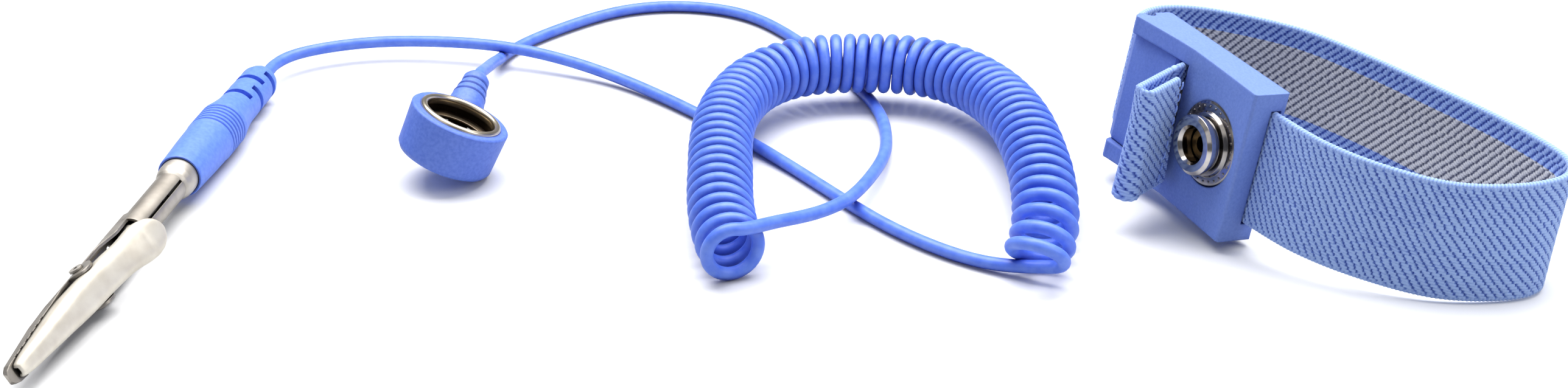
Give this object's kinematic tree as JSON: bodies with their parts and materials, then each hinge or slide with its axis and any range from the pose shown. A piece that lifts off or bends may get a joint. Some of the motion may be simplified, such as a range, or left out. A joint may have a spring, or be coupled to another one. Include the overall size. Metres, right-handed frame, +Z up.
{
  "type": "esd wrist strap",
  "caption": "Elastic wristband with a cam buckle and a snap stud, and a coiled ground cord with a snap socket at one end and a banana plug carrying an alligator clip at the other.",
  "frame": {"origin": "centre of the footprint of the laid-out strap, on the bench surface", "axes": "+X along the long side of the layout from the clip to the wristband, +Y away from the viewer, +Z up from the bench"},
  "size_m": [0.2368, 0.1519, 0.0301],
  "materials": {
    "cord": "satin",
    "moulding": "satin",
    "buckle": "fine matt",
    "nickel": "bright nickel",
    "stainless": "brushed",
    "spring_wire": "drawn",
    "brass": "satin",
    "resistor": "lacquered",
    "band": "ribbed knit",
    "conductive_knit": "ribbed knit with metal thread"
  },
  "bodies": {
    "cord": {"cord_jacket": "cord"},
    "plug": {"plug_cord_end": "cord", "plug_conductor": "brass", "plug_grip": "moulding", "plug_pin": "nickel"},
    "contact_cage": {"plug_contact_cage": "nickel"},
    "clip": {"clip_lower_jaw": "nickel", "clip_rivet": "nickel", "clip_spring": "spring_wire"},
    "clip_lever": {"clip_upper_jaw": "nickel"},
    "snap": {"snap_cord_end": "cord", "snap_cap": "moulding", "snap_conductor": "brass", "resistor_body": "resistor", "resistor_leads": "spring_wire", "socket_terminal": "nickel", "socket_shell": "nickel", "socket_spring": "spring_wire", "socket_rivet": "brass"},
    "wristband": {"buckle_body": "buckle", "flap_pin": "stainless", "contact_plate": "stainless", "snap_stud": "nickel", "stud_rivet": "brass", "band_fabric": "band", "band_lining": "conductive_knit"},
    "band_tail": {"tail_fabric": "band", "tail_lining": "conductive_knit", "hem_stitches": "band"},
    "flap": {"buckle_flap": "buckle"}
  },
  "joints": [
    {"name": "plug_bend", "type": "hinge", "parent": "cord", "child": "plug", "pos_m": [-0.10166, 0.04147, 0.00361], "axis": [0, 0, 1], "range_deg": [-20, 20]},
    {"name": "cage_spin", "type": "hinge", "parent": "plug", "child": "contact_cage", "pos_m": [-0.10967, -0.02715, 0.00462], "axis": [0.1429, 0.9895, 0.023], "continuous": true},
    {"name": "clip_slide", "type": "slide", "parent": "plug", "child": "clip", "axis": [-0.1429, -0.9895, -0.023], "range_m": [0, 0.024]},
    {"name": "jaw_open", "type": "hinge", "parent": "clip", "child": "clip_lever", "pos_m": [-0.11253, -0.05058, 0.00436], "axis": [-0.4827, 0.0494, 0.8744], "range_deg": [0, 20], "deforming": ["clip_spring"]},
    {"name": "snap_bend", "type": "hinge", "parent": "cord", "child": "snap", "pos_m": [-0.06005, 0.01657, 0.01109], "axis": [0, 0, 1], "range_deg": [-20, 20]},
    {"name": "wristband_lift", "type": "slide", "parent": "cord", "child": "wristband", "axis": [0, 0, 1], "range_m": [0, 0.08]},
    {"name": "flap_swing", "type": "hinge", "parent": "wristband", "child": "flap", "pos_m": [0.05482, -0.00041, 0.01665], "axis": [-0.1577, -0.0106, -0.9874], "range_deg": [0, 75]},
    {"name": "tail_bend", "type": "hinge", "parent": "wristband", "child": "band_tail", "pos_m": [0.06035, -0.0097, 0.01587], "axis": [-0.1577, -0.0106, -0.9874], "range_deg": [0, 20]}
  ]
}
